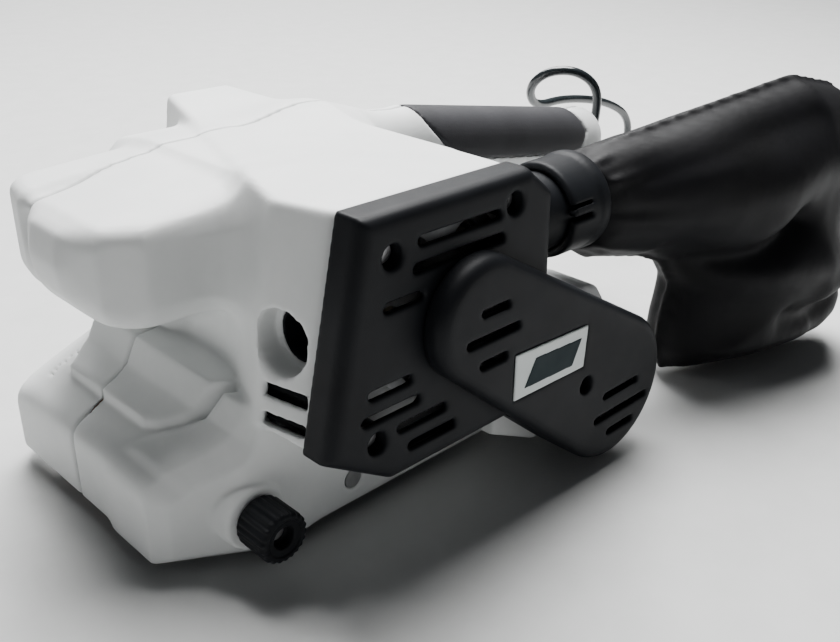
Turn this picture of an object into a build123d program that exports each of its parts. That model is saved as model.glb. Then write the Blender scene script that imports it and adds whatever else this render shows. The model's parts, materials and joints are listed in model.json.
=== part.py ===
from build123d import *
from math import cos, pi, sin, tan
import os

# Handheld belt sander, in millimetres. The front of the machine is at -X, its drive side at -Y, +Z is up.
# The origin is the middle of the flat underside of the sanding belt, on the surface being sanded.

# ---- driving dimensions -------------------------------------------------------------------------
BELT_LOOP = 457.0            # standard 76 x 457 mm sanding belt
BELT_WIDTH = 76.0
BELT_OUT = 1.0               # outer face of the belt stands this far off a roller
BELT_GAP = 0.3               # slack between a roller and the belt's inner face
FRONT_R = 23.0               # idler roller
REAR_R = 25.0                # drive roller over its rubber tyre
TYRE = 2.5
ROLLER_HALF = 39.0           # half length of both rollers
MEAN_TURN = pi * (FRONT_R + REAR_R + BELT_OUT + BELT_GAP)
SPAN = (BELT_LOOP - MEAN_TURN) / 2
FRONT_X, REAR_X = -SPAN / 2, SPAN / 2
FRONT_Z, REAR_Z = FRONT_R + BELT_OUT, REAR_R + BELT_OUT
AXLE_R = 5.0
RUN = 0.05                   # radial running clearance of shafts and pins
BEARING_OD, BEARING_W = 22.0, 7.0

SKIRT_Z = 7.0                # underside of the frame skirt above the work
DECK_Z = 66.0                # top of the lower frame
TOP_Z = 141.5                # top of the motor housing
SKIRT_Y = -79.0              # drive side of the skirt
FAR_Y = 62.0                 # open side of the frame
COVER_IN_Y, COVER_OUT_Y = -105.0, -119.0     # motor end cover
DRIVE_IN_Y, DRIVE_OUT_Y = -100.0, -128.5     # drive belt cover
NOSE_X = -104.0
WALL = 3.0

MOTOR_X, MOTOR_Z = -8.0, 97.0
MOTOR_CAVITY_R = 36.0
STATOR_R, STATOR_BORE = 33.0, 18.0
SHAFT_R = 4.0

OUTLET_Y, OUTLET_Z = -81.0, 105.5
OUTLET_R, COLLAR_R = 17.0, 20.8
OUTLET_END_X = 90.0
COLLAR_X0, COLLAR_X1 = 73.0, 96.0

SOCKET_Y, SOCKET_Z, SOCKET_R = -87.0, 94.0, 12.0
SOCKET_FLOOR_X = -48.0

HANDLE_R = 15.5
HANDLE_CAVITY = [(74, 0, 119.3), (190, 0, 99.7)]
GRIP_RUN = [(80, 0, 118.3), (196, 0, 98.7)]
HANDLE_PATH = [(70, 0, 120), (206, 0, 97), (186, 0, 52), (92, 0, 50)]

FRAME_Z0, FRAME_Z1 = 5.0, 42.0       # cast belt frame between the two runs of the belt
YOKE_PIVOT_X = -48.5
LEVER_X, LEVER_Y = -12.0, 44.0
KNOB_X, KNOB_Z, KNOB_R = -76.0, 25.5, 10.0
KNOB_Y0, KNOB_Y1 = -98.5, -81.5
SMALL_PULLEY_R, LARGE_PULLEY_R = 7.5, 15.0
LOBE_Z = 38.0                # centre of the rear lobe of the drive belt cover
LOBE_R, MOTOR_LOBE_R = 32.5, 23.5
FRAME_SCREW = (-28.0, 18.0)
LOCK_X, LOCK_Z = 118.0, 111.0
COVER_WALL = 2.5
COVER_SCREWS = [(-44, 128), (14, 132), (-51, 63)]
HOUSING_SCREWS = [(-80, 108), (24, 128), (-46, 126), (40, 61.5), (199, 93)]

CORD_D = 5.0
RELIEF_FOOT = (203, 1, 58)
CORD_ROUTE = [
    (221, 0, 88), (221.5, -3, 106), (221, -3, 123), (209, 3, 133), (199.5, 16.5, 132), (199, 29, 121),
    (214, 36, 106), (247, 39, 106), (292, 40, 97), (325, 42.5, 81), (330, 46.5, 56), (310, 50, 30),
    (302, 54, 10), (286, 64, 2.6), (264, 80, 2.6), (232, 91.5, 2.6), (189, 92.5, 2.6),
]
COIL_X, COIL_Y = 170.0, 120.0
COIL_MEAN_R, COIL_BAND = 27.5, 15.0
COIL_Z0, COIL_Z1 = 0.6, 21.6
PLUG_AT, PLUG_TURN = (106.0, 96.0, 0.0), -5.0

os.makedirs("parts", exist_ok=True)


# ---- helpers ------------------------------------------------------------------------------------
def save(name, shape):
    shape.label = name
    export_step(shape, "parts/" + name + ".step")


def prism_y(sketch, y_low, y_high):
    """A sketch whose axes are X and Z, extruded from y_low to y_high."""
    return extrude(Plane.XZ.offset(-y_high) * sketch, amount=y_high - y_low, dir=(0, -1, 0))


def prism_x(sketch, x_low, x_high):
    """A sketch whose axes are Y and Z, extruded from x_low to x_high."""
    return extrude(Plane.YZ.offset(x_low) * sketch, amount=x_high - x_low, dir=(1, 0, 0))


def prism_z(sketch, z_low, z_high):
    return extrude(Pos(0, 0, z_low) * sketch, amount=z_high - z_low, dir=(0, 0, 1))


def outline(*points):
    return Polygon(*points, align=None)


def box(x0, x1, y0, y1, z0, z1):
    return Pos((x0 + x1) / 2, (y0 + y1) / 2, (z0 + z1) / 2) * Box(x1 - x0, y1 - y0, z1 - z0)


def rod_y(x, z, r, y0, y1):
    return prism_y(Pos(x, z) * Circle(r), y0, y1)


def rod_x(y, z, r, x0, x1):
    return prism_x(Pos(y, z) * Circle(r), x0, x1)


def rod_z(x, y, r, z0, z1):
    return prism_z(Pos(x, y) * Circle(r), z0, z1)


def ring_y(x, z, r_out, r_in, y0, y1):
    return rod_y(x, z, r_out, y0, y1) - rod_y(x, z, r_in, y0, y1)


def pear(front, r_front, rear, r_rear):
    """Outline of a belt stretched round two circles, as a sketch whose axes are X and Z."""
    circles = [Pos(*front) * Circle(r_front), Pos(*rear) * Circle(r_rear)]
    return make_hull([edge for circle in circles for edge in circle.edges()])


def slot_xz(x0, x1, z, width):
    """A vent slot along X, as a sketch whose axes are X and Z."""
    return Pos((x0 + x1) / 2, z) * SlotOverall(x1 - x0, width)


def half_bar(line, radius, side):
    """Half of a round bar along a line in the seam plane: side is 1 for +Y and -1 for -Y."""
    section = Circle(radius) & Pos(side * radius, 0) * Rectangle(2 * radius, 3 * radius)
    return sweep(Plane(line @ 0, x_dir=(0, 1, 0), z_dir=line % 0) * section, path=line)


# ---- housing ------------------------------------------------------------------------------------
def upper_body():
    side = outline((-58, 50), (-58, 100), (-52, TOP_Z), (22, TOP_Z), (34, 133), (38, 50))
    front = outline((-80, 40), (-80, TOP_Z), (15, TOP_Z), (42, 136), (FAR_Y, 118), (FAR_Y, 40))
    body = prism_y(side, -80, FAR_Y) & prism_x(front, -100, 60)
    wing_side = outline((-74, 48), (-57, TOP_Z), (22, TOP_Z), (34, 133), (38, 48))
    wing_plan = outline((-80, -64), (-72, -80), (-66, COVER_IN_Y), (60, COVER_IN_Y), (60, -64))
    wing = prism_y(wing_side, COVER_IN_Y, -64) & prism_z(wing_plan, 40, 150)
    return body + wing


def lower_frame():
    plan = outline(
        (NOSE_X, -46), (-101, -64), (-76, SKIRT_Y), (104, SKIRT_Y),
        (104, FAR_Y), (-78, FAR_Y), (-98, 56), (NOSE_X, 48),
    )
    side = outline(
        (NOSE_X, SKIRT_Z), (NOSE_X, 32), (-101, 37), (-72, DECK_Z),
        (88, DECK_Z), (101, 60), (105, 40), (105, SKIRT_Z),
    )
    frame = prism_z(plan, 0, 80) & prism_y(side, -90, 70)
    flank_side = outline((30, 22), (30, 70), (86, 69.5), (100, 63), (106, 42), (101, 18), (84, 8), (58, 8))
    flank = prism_y(flank_side, DRIVE_IN_Y, -70)
    shelf = prism_y(outline((-90, 49), (-68, 57), (-58, 57), (-58, 90), (-90, 90)), -40, 40)
    boss = rod_y(KNOB_X, KNOB_Z, KNOB_R + 2, -81, -60)
    return frame + flank + boss - shelf


def front_handle():
    plan = outline(
        (-48, -68), (-70, -60), (-92, -58), (-108, -48), (-115, -32), (-114, -14), (-106, 0),
        (-109, 9), (-104, 25), (-97, 39), (-88, 49), (-70, 54), (-48, 58),
    )
    side = outline(
        (-48, 66), (-60, 69), (-82, 82), (-104, 99), (-114, 107), (-117, 116),
        (-112, 126), (-100, 131), (-60, 136.5), (-48, 138),
    )
    front = outline(
        (-18, 68), (-34, 82), (-52, 94), (-64, 107), (-60, 124), (-34, 134), (0, 138),
        (24, 134), (42, 127), (56, 114), (50, 97), (34, 84), (18, 68),
    )
    grip = prism_z(plan, 60, 145) & prism_y(side, -80, 70) & prism_x(front, -130, -40)
    column = prism_z(outline((-48, -24), (-60, -18), (-60, 18), (-48, 24)), 50, 90)
    return grip + column


def handle_root():
    side = outline((20, 96), (20, TOP_Z), (76, 134), (100, 112), (80, 100))
    plan = outline((20, -64), (60, -26), (92, -16), (92, 16), (60, 24), (20, 56))
    return prism_y(side, -80, 70) & prism_z(plan, 90, 150)


def main_handle(side):
    return half_bar(FilletPolyline(*HANDLE_PATH, radius=20), HANDLE_R, side)


def belt_cavity():
    around = pear((FRONT_X, FRONT_Z), FRONT_R + 2.5, (REAR_X, REAR_Z), REAR_R + 3.5)
    below = box(FRONT_X, REAR_X, -47, 80, -5, 26)
    behind = box(95, 120, -47, 80, -5, 53)
    return prism_y(around, -47, 80) + below + behind


def left_side_cavity():
    """Room in the skirt for the roller shafts, reached from the belt cavity."""
    return box(-66, 92, SKIRT_Y + WALL, -46, SKIRT_Z - 1, 46)


def socket_and_vents():
    cut = rod_x(SOCKET_Y, SOCKET_Z, SOCKET_R, -90, SOCKET_FLOOR_X)
    for z in (78, 67.5):
        cut += box(-90, -40, -100, -78, z - 1.8, z + 1.8)
    return cut


def handle_cavity(side):
    return half_bar(Line(HANDLE_CAVITY[0], HANDLE_CAVITY[1]), HANDLE_R - WALL - 1.5, side)


def strain_relief():
    foot, tip = Vector(*RELIEF_FOOT), Vector(*CORD_ROUTE[0])
    base = (Align.CENTER, Align.CENTER, Align.MIN)
    return Plane(foot, z_dir=tip - foot) * Cone(6.5, 3.9, (tip - foot).length, align=base)


def grip_half(side, radius):
    """Half of the soft sleeve let into the upper part of the main handle."""
    line = Line(GRIP_RUN[0], GRIP_RUN[1])
    sleeve = half_bar(line, radius, side) - half_bar(line, HANDLE_R - 2, side)
    window = outline((84, 150), (98, 112), (104, 104), (192, 89.4), (192, 135))
    return sleeve & prism_y(window, -40, 40)


def housing_half(side):
    """One moulded half shell: side is 1 for the half at +Y and -1 for the drive side."""
    half = box(-200, 300, 0, 200, -10, 200) if side > 0 else box(-200, 300, -200, 0, -10, 200)
    shape = upper_body() & half
    for piece in (lower_frame(), front_handle(), handle_root()):
        shape += piece & half
    shape += main_handle(side)
    cuts = [
        belt_cavity(),
        left_side_cavity(),
        rod_y(MOTOR_X, MOTOR_Z, MOTOR_CAVITY_R, -130, 45),
        rod_y(MOTOR_X, MOTOR_Z, BEARING_OD / 2, 44, 44 + BEARING_W + 1),
        rod_x(OUTLET_Y, OUTLET_Z, OUTLET_R, 10, 60),
        rod_y(REAR_X, REAR_Z, BEARING_OD / 2, -101, DRIVE_IN_Y + BEARING_W + 1),
        rod_y(REAR_X, REAR_Z, AXLE_R + 1, -101, -70),
        rod_y(KNOB_X, KNOB_Z, 3.1, -90, -40),
        rod_y(FRAME_SCREW[0], FRAME_SCREW[1], 4.2, -90, -70),
        rod_y(LOCK_X, LOCK_Z, 4 + RUN, 5, 30),
        *[rod_y(x, z, 3.8, 16, 90) for x, z in HOUSING_SCREWS],
        *[rod_y(x, z, 1.9, -14, 17) for x, z in HOUSING_SCREWS],
        *[rod_y(x, z, 1.9, COVER_IN_Y - 1, COVER_IN_Y + 8) for x, z in COVER_SCREWS],
        grip_half(side, HANDLE_R + 3),
        strain_relief(),
        socket_and_vents(),
        handle_cavity(side),
        prism_y(outline((108, 84), (108, 108), (136, 103), (136, 80)), -7, 7),
    ]
    for cut in cuts:
        shape -= cut
    return shape


save("left_housing", housing_half(-1))
save("right_housing", housing_half(1))


# ---- rollers, sanding belt and belt frame ---------------------------------------------------------
def sanding_belt():
    outside = pear((FRONT_X, FRONT_Z), FRONT_R + BELT_OUT, (REAR_X, REAR_Z), REAR_R + BELT_OUT)
    inside = pear((FRONT_X, FRONT_Z), FRONT_R + BELT_GAP, (REAR_X, REAR_Z), REAR_R + BELT_GAP)
    return prism_y(outside, -BELT_WIDTH / 2, BELT_WIDTH / 2) - prism_y(inside, -BELT_WIDTH, BELT_WIDTH)


def front_roller():
    seats = rod_y(FRONT_X, FRONT_Z, BEARING_OD / 2, -ROLLER_HALF, -ROLLER_HALF + BEARING_W)
    seats += rod_y(FRONT_X, FRONT_Z, BEARING_OD / 2, ROLLER_HALF - BEARING_W, ROLLER_HALF)
    tube = ring_y(FRONT_X, FRONT_Z, FRONT_R, 8, -ROLLER_HALF, ROLLER_HALF)
    return tube - seats


def front_bearings():
    near = ring_y(FRONT_X, FRONT_Z, BEARING_OD / 2, 4 + RUN, -ROLLER_HALF, -ROLLER_HALF + BEARING_W)
    far = ring_y(FRONT_X, FRONT_Z, BEARING_OD / 2, 4 + RUN, ROLLER_HALF - BEARING_W, ROLLER_HALF)
    return Compound(children=[near, far])


def front_yoke():
    cross = box(-51, -46, -45, 45, 14, 34)
    arms = box(-84, -46, -45, -41, 14, 34) + box(-84, -46, 41, 45, 14, 34)
    return cross + arms - rod_y(FRONT_X, FRONT_Z, 4, -50, 50) - rod_z(YOKE_PIVOT_X, 0, 2 + RUN, 0, 50)


def tension_slider():
    body = box(-40.5, -20, -10, 10, 18, 30)
    web = box(-45.5, -40.5, -8, 8, 9.5, 38.5)
    ears = box(-53, -40.5, -8, 8, 9.5, 13.5) + box(-53, -40.5, -8, 8, 34.5, 38.5)
    return body + web + ears - rod_z(YOKE_PIVOT_X, 0, 2, 0, 50)


def belt_frame():
    block = box(-36, 42, -36, 36, FRAME_Z0, FRAME_Z1)
    side_plate = box(-36, 40, SKIRT_Y + WALL + 0.3, -36, 9, FRAME_Z1)
    hollows = box(-31, -1, -71, -41, 14, FRAME_Z1 + 1) + box(4, 34, -71, -41, 14, FRAME_Z1 + 1)
    for x0, x1 in ((-8, 13), (17, 38)):
        for y0, y1 in ((-31, -2), (2, 31)):
            hollows += box(x0, x1, y0, y1, FRAME_Z0 + 4, FRAME_Z1 + 1)
    track = box(-41, -11, -10.1, 10.1, 17.9, 30.1)
    arm_side = outline((8, 12), (8, 39), (REAR_X, REAR_Z + 13), (REAR_X, REAR_Z - 13))
    arm = prism_y(arm_side + Pos(REAR_X, REAR_Z) * Circle(13), 40, 47) + box(8, 42, 36, 40, 12, 39)
    ears = box(-20, -4, 36, 50, 14, 20.5) + box(-20, -4, 36, 50, 33.5, 39)
    shape = block + side_plate - hollows - track + arm + ears
    shape -= rod_y(REAR_X, REAR_Z, BEARING_OD / 2, 39, 48)
    shape -= rod_z(LEVER_X, LEVER_Y, 3, 0, 60)
    return shape - rod_y(FRAME_SCREW[0], FRAME_SCREW[1], 2, -80, -60)


def tension_lever():
    hub = rod_z(LEVER_X, LEVER_Y, 7, 21, 33)
    blade = box(-60, LEVER_X, LEVER_Y + 2.5, LEVER_Y + 7, 23, 31)
    tip = rod_z(-60, LEVER_Y + 5.5, 4, 23, 31)
    return hub + blade + tip - rod_z(LEVER_X, LEVER_Y, 3 + RUN, 0, 60)


def tension_spring():
    coil = rod_x(0, 24, 6, -19.8, -11.2) - rod_x(0, 24, 4, -20, -11)
    return coil


def drive_roller():
    return ring_y(REAR_X, REAR_Z, REAR_R - TYRE, AXLE_R, -ROLLER_HALF, ROLLER_HALF)


def pulley(x, z, radius, teeth, y0, y1, bore):
    """A toothed belt pulley with a flange on its inner side."""
    wheel = rod_y(x, z, radius - 0.2, y0, y1)
    for i in range(teeth):
        angle = 2 * pi * i / teeth
        wheel -= rod_y(x + (radius - 0.2) * cos(angle), z + (radius - 0.2) * sin(angle), 0.9, y0, y1)
    return wheel + rod_y(x, z, radius + 2, y1, y1 + 1) - rod_y(x, z, bore, y0 - 1, y1 + 2)


def drive_belt():
    outside = pear((MOTOR_X, MOTOR_Z), SMALL_PULLEY_R + 1.5, (REAR_X, REAR_Z), LARGE_PULLEY_R + 1.5)
    inside = pear((MOTOR_X, MOTOR_Z), SMALL_PULLEY_R, (REAR_X, REAR_Z), LARGE_PULLEY_R)
    return prism_y(outside, -124, -116.5) - prism_y(inside, -125, -115)


for name, shape in {
    "sanding_belt": sanding_belt(),
    "front_roller": front_roller(),
    "front_roller_bearings": front_bearings(),
    "front_axle": rod_y(FRONT_X, FRONT_Z, 4, -45.5, 45.5),
    "front_yoke": front_yoke(),
    "yoke_pin": rod_z(YOKE_PIVOT_X, 0, 2, 9.5, 38.5),
    "tension_slider": tension_slider(),
    "tension_spring": tension_spring(),
    "tension_lever": tension_lever(),
    "lever_pin": rod_z(LEVER_X, LEVER_Y, 3, 14, 39),
    "belt_frame": belt_frame(),
    "frame_screw": rod_y(FRAME_SCREW[0], FRAME_SCREW[1], 4, -78.5, -75.7)
    + rod_y(FRAME_SCREW[0], FRAME_SCREW[1], 2, -75.7, -62),
    "platen_pad": box(-48, 48, -36, 36, 2.4, 5),
    "platen": box(-49, 48, -37, 37, 1.3, 2.4),
    "drive_roller": drive_roller(),
    "drive_roller_tyre": ring_y(REAR_X, REAR_Z, REAR_R, REAR_R - TYRE, -ROLLER_HALF, ROLLER_HALF),
    "drive_shaft": rod_y(REAR_X, REAR_Z, AXLE_R, -124.5, 47),
    "drive_shaft_bearings": Compound(children=[
        ring_y(REAR_X, REAR_Z, BEARING_OD / 2, AXLE_R + RUN, y, y + BEARING_W) for y in (DRIVE_IN_Y, 40)
    ]),
    "large_pulley": pulley(REAR_X, REAR_Z, LARGE_PULLEY_R, 30, -124.5, -116, AXLE_R),
    "small_pulley": pulley(MOTOR_X, MOTOR_Z, SMALL_PULLEY_R, 15, -124.5, -116, SHAFT_R),
    "drive_belt": drive_belt(),
}.items():
    save(name, shape)


# ---- motor ----------------------------------------------------------------------------------------
def motor_end_plate():
    plate = rod_y(MOTOR_X, MOTOR_Z, MOTOR_CAVITY_R - 0.2, -104.5, -101)
    hub = rod_y(MOTOR_X, MOTOR_Z, 14, -104.5, -95)
    plate += hub
    plate -= rod_y(MOTOR_X, MOTOR_Z, BEARING_OD / 2, -105, -104.5 + BEARING_W)
    plate -= rod_y(MOTOR_X, MOTOR_Z, 6, -105, -90)
    for i in range(6):
        angle = 2 * pi * i / 6
        plate -= rod_y(MOTOR_X + 25 * cos(angle), MOTOR_Z + 25 * sin(angle), 6, -106, -100)
    return plate


def motor_fan():
    fan = rod_y(MOTOR_X, MOTOR_Z, 33, -80, -78) + rod_y(MOTOR_X, MOTOR_Z, 8, -92, -78)
    for i in range(12):
        blade = Pos(20.5, 0) * Rectangle(24, 1.6)
        fan += prism_y(Pos(MOTOR_X, MOTOR_Z) * Rot(0, 0, 30 * i) * blade, -92, -80)
    return fan - rod_y(MOTOR_X, MOTOR_Z, SHAFT_R, -100, -70)


def armature():
    core = rod_y(MOTOR_X, MOTOR_Z, 17.4, -68, -26)
    for i in range(12):
        angle = 2 * pi * i / 12
        core -= rod_y(MOTOR_X + 16.8 * cos(angle), MOTOR_Z + 16.8 * sin(angle), 1.4, -70, -20)
    return core - rod_y(MOTOR_X, MOTOR_Z, SHAFT_R, -70, -20)


def stator():
    ring = ring_y(MOTOR_X, MOTOR_Z, STATOR_R, STATOR_BORE, -68, -26)
    for side in (1, -1):
        ring -= box(MOTOR_X - 12, MOTOR_X + 12, -70, -20, MOTOR_Z + side * 24 - 4, MOTOR_Z + side * 24 + 4)
    return ring


def stator_cradle():
    return ring_y(MOTOR_X, MOTOR_Z, MOTOR_CAVITY_R, STATOR_R, -68, -56)


def field_windings():
    coils = []
    for side in (1, -1):
        z = MOTOR_Z + side * 24
        coils.append(box(MOTOR_X - 11, MOTOR_X + 11, -75, -19, z - 3, z + 3))
    return Compound(children=coils)


def armature_windings():
    front = ring_y(MOTOR_X, MOTOR_Z, 15, SHAFT_R, -76, -68)
    back = ring_y(MOTOR_X, MOTOR_Z, 15, SHAFT_R, -26, -19)
    return Compound(children=[front, back])


def brush_holders():
    holders = []
    for side in (1, -1):
        x0, x1 = sorted((MOTOR_X + side * 13.5, MOTOR_X + side * 33))
        holder = box(x0, x1, -14, -2, MOTOR_Z - 6, MOTOR_Z + 6)
        holders.append(holder - box(x0 - 1, x1 + 1, -11, -5, MOTOR_Z - 3, MOTOR_Z + 3))
    return Compound(children=holders)


def carbon_brushes():
    brushes = []
    for side in (1, -1):
        x0, x1 = sorted((MOTOR_X + side * 12.2, MOTOR_X + side * 26))
        brushes.append(box(x0, x1, -10.9, -5.1, MOTOR_Z - 2.9, MOTOR_Z + 2.9))
    return Compound(children=brushes)


for name, shape in {
    "motor_end_plate": motor_end_plate(),
    "motor_fan": motor_fan(),
    "armature": armature(),
    "armature_windings": armature_windings(),
    "motor_stator": stator(),
    "stator_cradle": stator_cradle(),
    "field_windings": field_windings(),
    "commutator": ring_y(MOTOR_X, MOTOR_Z, 12, SHAFT_R, -16, -1),
    "brush_holders": brush_holders(),
    "carbon_brushes": carbon_brushes(),
    "motor_shaft": rod_y(MOTOR_X, MOTOR_Z, SHAFT_R, -124.5, 52),
    "motor_bearings": Compound(children=[
        ring_y(MOTOR_X, MOTOR_Z, BEARING_OD / 2, SHAFT_R + RUN, y, y + BEARING_W) for y in (-104.5, 45)
    ]),
}.items():
    save(name, shape)


# ---- covers ---------------------------------------------------------------------------------------
COVER_EDGE = [(-71, 57), (-56, 142.5), (23, 142.5), (37, 131), (40, 46), (-44, 46)]
COVER_SLOTS = [
    (-33, 7, 130), (-35, 9, 121), (-48, -30, 111), (-55, -35, 82),
    (-58, -31, 73), (-42, -18, 64.5), (-37, -13, 55.5),
]


def drive_outline(grow):
    return pear((MOTOR_X, MOTOR_Z), MOTOR_LOBE_R + grow, (REAR_X, LOBE_Z), LOBE_R + grow)


def motor_end_cover():
    cover = prism_y(outline(*COVER_EDGE), COVER_OUT_Y, COVER_IN_Y)
    cover = chamfer(cover.faces().sort_by(Axis.Y)[0].edges(), 4)
    cover -= prism_y(offset(outline(*COVER_EDGE), -4.5), COVER_OUT_Y + 3, COVER_IN_Y + 1)
    for x, z in COVER_SCREWS:
        cover += rod_y(x, z, 5.5, COVER_OUT_Y + 2, COVER_IN_Y) & prism_y(outline(*COVER_EDGE), -130, -100)
        cover -= rod_y(x, z, 3.5, COVER_OUT_Y - 1, COVER_OUT_Y + 8) + rod_y(x, z, 1.9, -130, -100)
    for x0, x1, z in COVER_SLOTS:
        cover -= prism_y(slot_xz(x0, x1, z, 3.2), COVER_OUT_Y - 1, COVER_OUT_Y + 4)
    return cover - prism_y(drive_outline(-6), COVER_OUT_Y - 1, COVER_OUT_Y + 4)


def drive_belt_cover():
    seat = prism_y(offset(outline(*COVER_EDGE), 0.4), COVER_OUT_Y, 0)
    cover = prism_y(drive_outline(0), DRIVE_OUT_Y, DRIVE_IN_Y)
    cover = chamfer(cover.faces().sort_by(Axis.Y)[0].edges(), 2.5)
    cover -= seat + prism_y(drive_outline(-COVER_WALL), DRIVE_OUT_Y + 3, 0)
    lug = rod_y(42, 59, 6, DRIVE_OUT_Y + 2, DRIVE_IN_Y) - seat
    cover += lug - rod_y(42, 59, 1.9, DRIVE_OUT_Y, -90)
    cover -= rod_y(53, 49, 3.8, DRIVE_OUT_Y - 1, DRIVE_OUT_Y + 1.5)
    for x0, x1, z in ((-12, 3, 101), (-19, 9, 91), (-12, 3, 81), (66, 91, 38), (61, 99, 28), (71, 90, 19)):
        cover -= prism_y(slot_xz(x0, x1, z, 3), DRIVE_OUT_Y - 1, DRIVE_OUT_Y + 4)
    return cover - prism_y(badge_outline(), DRIVE_OUT_Y - 1, DRIVE_OUT_Y + 0.8)


def badge_outline():
    return outline((7, 79), (50, 77), (49, 59), (7, 60))


def dust_outlet():
    tube = rod_x(OUTLET_Y, OUTLET_Z, OUTLET_R - 0.1, 28, OUTLET_END_X)
    flange = rod_x(OUTLET_Y, OUTLET_Z, 20, 39, 44)
    return tube + flange - rod_x(OUTLET_Y, OUTLET_Z, OUTLET_R - 2.5, 20, 100)


def bag_collar():
    ring = rod_x(OUTLET_Y, OUTLET_Z, COLLAR_R, COLLAR_X0, COLLAR_X1)
    return ring - rod_x(OUTLET_Y, OUTLET_Z, OUTLET_R + RUN, 70, 100)


def dust_bag():
    side = outline(
        (COLLAR_X1, 86), (COLLAR_X1, 125), (150, 140), (238, 149), (262, 140),
        (272, 90), (276, 30), (262, 12), (236, 3), (168, 3), (146, 22), (132, 72),
    )
    plan = outline(
        (COLLAR_X1, -62), (150, -66), (240, -74), (276, -88), (282, -120),
        (262, -146), (200, -142), (150, -118), (COLLAR_X1, -101),
    )
    return prism_y(side, -160, -50) & prism_z(plan, 0, 160)


def tracking_knob():
    knob = rod_y(KNOB_X, KNOB_Z, KNOB_R, KNOB_Y0, KNOB_Y1)
    for i in range(20):
        angle = 2 * pi * i / 20
        x, z = KNOB_X + KNOB_R * cos(angle), KNOB_Z + KNOB_R * sin(angle)
        knob -= rod_y(x, z, 0.9, KNOB_Y0 - 1, KNOB_Y1 + 1)
    return knob - rod_y(KNOB_X, KNOB_Z, 4.2, KNOB_Y0 - 1, -93) - rod_y(KNOB_X, KNOB_Z, 3, -94, -80)


def trigger():
    return prism_y(outline((109, 104), (135, 99.5), (133, 89), (112, 93)), -6.6, 6.6)


for name, shape in {
    "motor_end_cover": motor_end_cover(),
    "cover_screws": Compound(children=[
        rod_y(x, z, 3.4, COVER_OUT_Y + 5, COVER_OUT_Y + 8) + rod_y(x, z, 1.9, COVER_OUT_Y + 8, COVER_IN_Y + 8)
        for x, z in COVER_SCREWS
    ]),
    "drive_belt_cover": drive_belt_cover(),
    "badge_plate": prism_y(badge_outline(), DRIVE_OUT_Y - 0.4, DRIVE_OUT_Y + 0.8),
    "dust_outlet": dust_outlet(),
    "bag_collar": bag_collar(),
    "dust_bag": dust_bag(),
    "tracking_knob": tracking_knob(),
    "tracking_screw": rod_y(KNOB_X, KNOB_Z, 3, -93, -46.3),
    "trigger": trigger(),
    "switch_body": prism_y(outline((106, 110.5), (106, 120), (138, 115.5), (138, 108.5)), -6, 6),
    "lock_button": rod_y(LOCK_X, LOCK_Z, 4, 9, 19.5),
    "housing_screws": Compound(children=[
        rod_y(x, z, 3.7, 17, 20) + rod_y(x, z, 1.9, -14, 17) for x, z in HOUSING_SCREWS
    ]),
}.items():
    save(name, shape)


# ---- handle grip, cord and plug -------------------------------------------------------------------
def handle_grip():
    grip = grip_half(1, HANDLE_R + 1) + grip_half(-1, HANDLE_R + 1)
    return grip - rod_y(LOCK_X, LOCK_Z, 4 + RUN, 5, 30)


def bend_radii(points):
    """Radius of each bend, from the shorter of the two runs that meet there."""
    radii = []
    for before, here, after in zip(points, points[1:], points[2:]):
        a, b = Vector(*here) - Vector(*before), Vector(*after) - Vector(*here)
        half_turn = a.get_angle(b) * pi / 360
        radii.append(0.45 * min(a.length, b.length) / tan(half_turn))
    return radii


def power_cord():
    radii = bend_radii(CORD_ROUTE)
    path = FilletPolyline(*CORD_ROUTE, radius=radii)
    print("cord bend radii", [round(r, 1) for r in radii])
    tube = sweep(Plane(path @ 0, z_dir=path % 0) * Circle(CORD_D / 2), path=path)
    ratio = tube.volume / (pi * CORD_D**2 / 4 * path.length)
    print("cord length", round(path.length, 1), "volume ratio", round(ratio, 4))
    return tube


def cord_coil():
    outer, inner = COIL_MEAN_R + COIL_BAND / 2, COIL_MEAN_R - COIL_BAND / 2
    return rod_z(COIL_X, COIL_Y, outer, COIL_Z0, COIL_Z1) - rod_z(COIL_X, COIL_Y, inner, 0, 30)


def cord_tie():
    near, far = COIL_X + COIL_MEAN_R - 9, COIL_X + COIL_MEAN_R + 8.4
    band = box(near, far, COIL_Y - 4, COIL_Y + 4, 0.1, COIL_Z1 + 0.6)
    return band - rod_z(COIL_X, COIL_Y, COIL_MEAN_R + COIL_BAND / 2, COIL_Z0, COIL_Z1) + (
        box(near, near + 0.8, COIL_Y - 4, COIL_Y + 4, 0.1, COIL_Z1 + 0.6))


def plug():
    body = box(-19, 19, -8, 8, 0.1, 17)
    body = chamfer(body.edges().filter_by(Axis.Z), 5)
    pins = rod_x(-5, 9, 2.2, -37, -19) + rod_x(5, 9, 2.2, -37, -19)
    boot = Pos(18, 0, 9) * Rot(0, 90, 0) * Cone(5.5, 3.4, 22, align=(Align.CENTER, Align.CENTER, Align.MIN))
    return Pos(*PLUG_AT) * Rot(0, 0, PLUG_TURN) * (body + pins + boot)


for name, shape in {
    "handle_grip": handle_grip(),
    "strain_relief": strain_relief(),
    "power_cord": power_cord(),
    "cord_coil": cord_coil(),
    "cord_tie": cord_tie(),
    "plug": plug(),
}.items():
    save(name, shape)
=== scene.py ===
import json
import math

import bpy
import numpy as np
from mathutils import Matrix, Vector


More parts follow.
